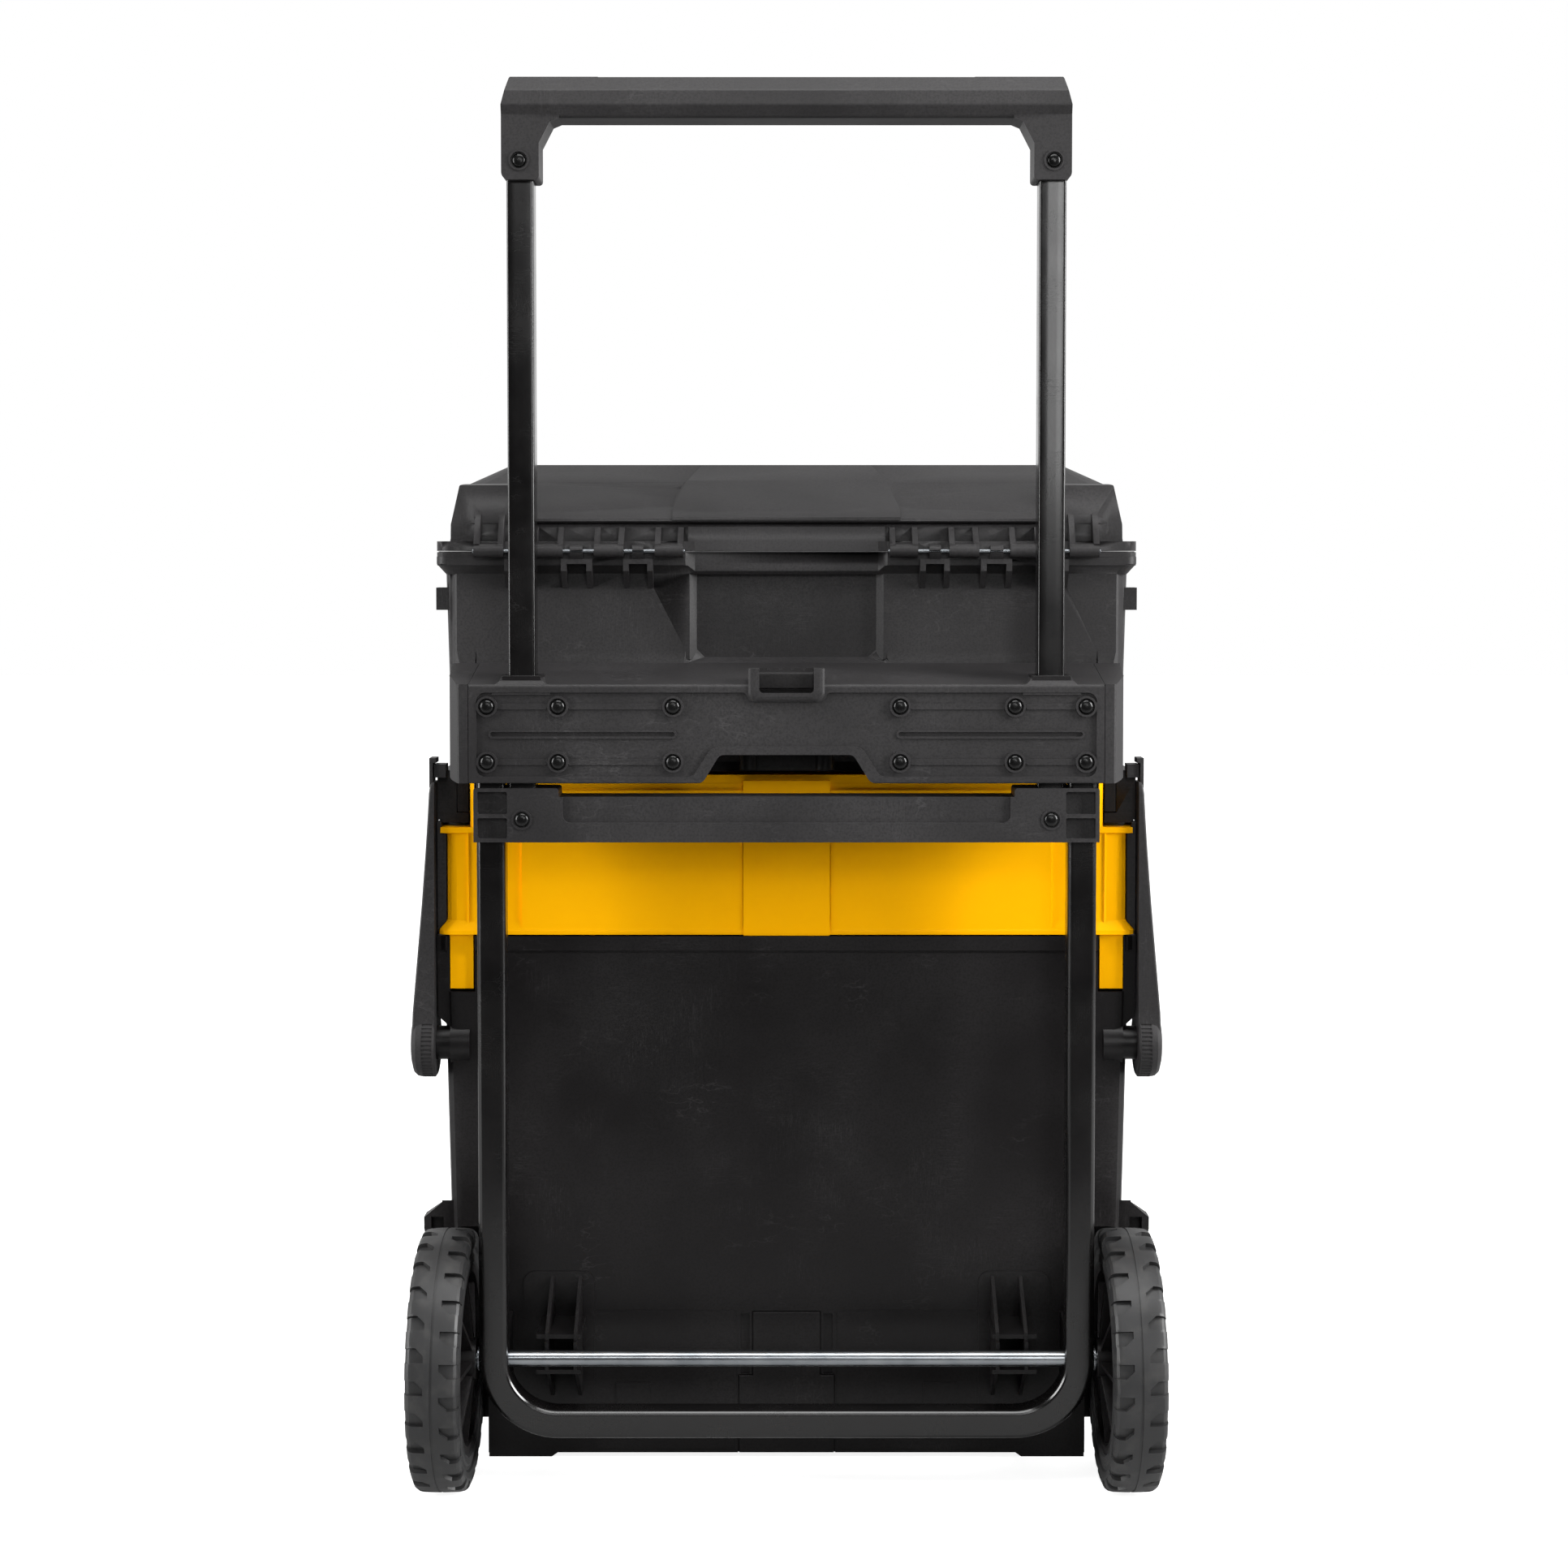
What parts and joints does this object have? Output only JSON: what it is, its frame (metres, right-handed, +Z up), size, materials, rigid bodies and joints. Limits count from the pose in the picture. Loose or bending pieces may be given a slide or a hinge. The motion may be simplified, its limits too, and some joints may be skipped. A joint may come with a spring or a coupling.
{
  "type": "rolling tool box",
  "caption": "Wheeled tool chest: deep bin, slide collar, sliding top box with hinged lid and side latches, and a riveted telescopic handle.",
  "frame": {"origin": "on the floor, under the middle of the bounding box", "axes": "+Z up, +Y to the rear where the handle and wheels are, +X to the right seen from the front"},
  "size_m": [0.535, 0.44, 0.9715],
  "materials": {
    "black_plastic": "fine moulded texture",
    "satin_black_plastic": "satin moulded plastic",
    "yellow_plastic": "satin yellow moulded plastic",
    "painted_steel": "gloss black paint",
    "zinc_steel": "bright zinc plate",
    "tyre_rubber": "moulded tread",
    "rivet_steel": "gloss black rivets"
  },
  "bodies": {
    "chassis": {"lower_bin": "satin_black_plastic", "service_panel": "satin_black_plastic", "frame_tube": "painted_steel", "axle": "zinc_steel", "left_axle_cap": "satin_black_plastic", "right_axle_cap": "satin_black_plastic", "left_axle_washer": "zinc_steel", "right_axle_washer": "zinc_steel", "rear_bracket": "black_plastic", "left_bracket_end": "black_plastic", "right_bracket_end": "black_plastic", "bracket_stiffener": "zinc_steel", "left_bracket_rivet_1": "rivet_steel", "right_bracket_rivet_1": "rivet_steel", "left_bracket_rivet_2": "rivet_steel", "right_bracket_rivet_2": "rivet_steel", "left_bracket_rivet_3": "rivet_steel", "right_bracket_rivet_3": "rivet_steel", "left_bracket_rivet_4": "rivet_steel", "right_bracket_rivet_4": "rivet_steel", "left_bracket_rivet_5": "rivet_steel", "right_bracket_rivet_5": "rivet_steel", "left_bracket_rivet_6": "rivet_steel", "right_bracket_rivet_6": "rivet_steel", "left_guide_bush": "satin_black_plastic", "right_guide_bush": "satin_black_plastic", "slide_collar": "yellow_plastic", "left_frame_tie": "painted_steel", "right_frame_tie": "painted_steel", "left_fixed_rail": "zinc_steel", "right_fixed_rail": "zinc_steel"},
    "handle": {"crossbar": "black_plastic", "left_upright": "painted_steel", "right_upright": "painted_steel", "handle_grip": "black_plastic", "left_grip_rivet": "rivet_steel", "right_grip_rivet": "rivet_steel", "left_crossbar_rivet": "rivet_steel", "right_crossbar_rivet": "rivet_steel"},
    "left_wheel": {"left_tyre": "tyre_rubber", "left_wheel_rim": "satin_black_plastic"},
    "right_wheel": {"right_tyre": "tyre_rubber", "right_wheel_rim": "satin_black_plastic"},
    "release_button": {"release_button": "satin_black_plastic"},
    "top_box": {"tool_box": "black_plastic", "left_sliding_rail": "zinc_steel", "right_sliding_rail": "zinc_steel", "left_hinge_pin": "zinc_steel", "right_hinge_pin": "zinc_steel"},
    "lid": {"lid": "black_plastic", "left_latch_pin": "zinc_steel", "right_latch_pin": "zinc_steel"},
    "left_lid_latch": {"left_lid_latch": "yellow_plastic"},
    "right_lid_latch": {"right_lid_latch": "yellow_plastic"},
    "carry_handle": {"carry_handle": "satin_black_plastic"},
    "left_side_latch": {"left_side_latch": "black_plastic"},
    "right_side_latch": {"right_side_latch": "black_plastic"}
  },
  "joints": [
    {"name": "handle_slide", "type": "slide", "parent": "chassis", "child": "handle", "axis": [0, 0, 1], "range_m": [-0.335, 0]},
    {"name": "left_wheel_spin", "type": "hinge", "parent": "chassis", "child": "left_wheel", "pos_m": [-0.236, 0.131, 0.089], "axis": [1, 0, 0], "continuous": true},
    {"name": "right_wheel_spin", "type": "hinge", "parent": "chassis", "child": "right_wheel", "pos_m": [0.236, 0.131, 0.089], "axis": [1, 0, 0], "continuous": true},
    {"name": "release_press", "type": "slide", "parent": "chassis", "child": "release_button", "axis": [0, 0, 1], "range_m": [-0.003, 0], "stiffness_N_per_m": 600, "springref_m": 0.001},
    {"name": "top_box_slide", "type": "slide", "parent": "chassis", "child": "top_box", "axis": [0, -1, 0], "range_m": [0, 0.2]},
    {"name": "lid_hinge", "type": "hinge", "parent": "top_box", "child": "lid", "pos_m": [0, 0.077, 0.65], "axis": [-1, 0, 0], "range_deg": [0, 72]},
    {"name": "left_lid_latch_pivot", "type": "hinge", "parent": "lid", "child": "left_lid_latch", "pos_m": [-0.15, -0.2145, 0.664], "axis": [-1, 0, 0], "range_deg": [0, 110]},
    {"name": "right_lid_latch_pivot", "type": "hinge", "parent": "lid", "child": "right_lid_latch", "pos_m": [0.15, -0.2145, 0.664], "axis": [-1, 0, 0], "range_deg": [0, 110]},
    {"name": "carry_handle_pivot", "type": "hinge", "parent": "lid", "child": "carry_handle", "pos_m": [0, -0.048, 0.701], "axis": [-1, 0, 0], "range_deg": [0, 90]},
    {"name": "left_side_latch_pivot", "type": "hinge", "parent": "chassis", "child": "left_side_latch", "pos_m": [-0.26, 0.064, 0.298], "axis": [1, 0, 0], "range_deg": [0, 100]},
    {"name": "right_side_latch_pivot", "type": "hinge", "parent": "chassis", "child": "right_side_latch", "pos_m": [0.26, 0.064, 0.298], "axis": [1, 0, 0], "range_deg": [0, 100]}
  ]
}
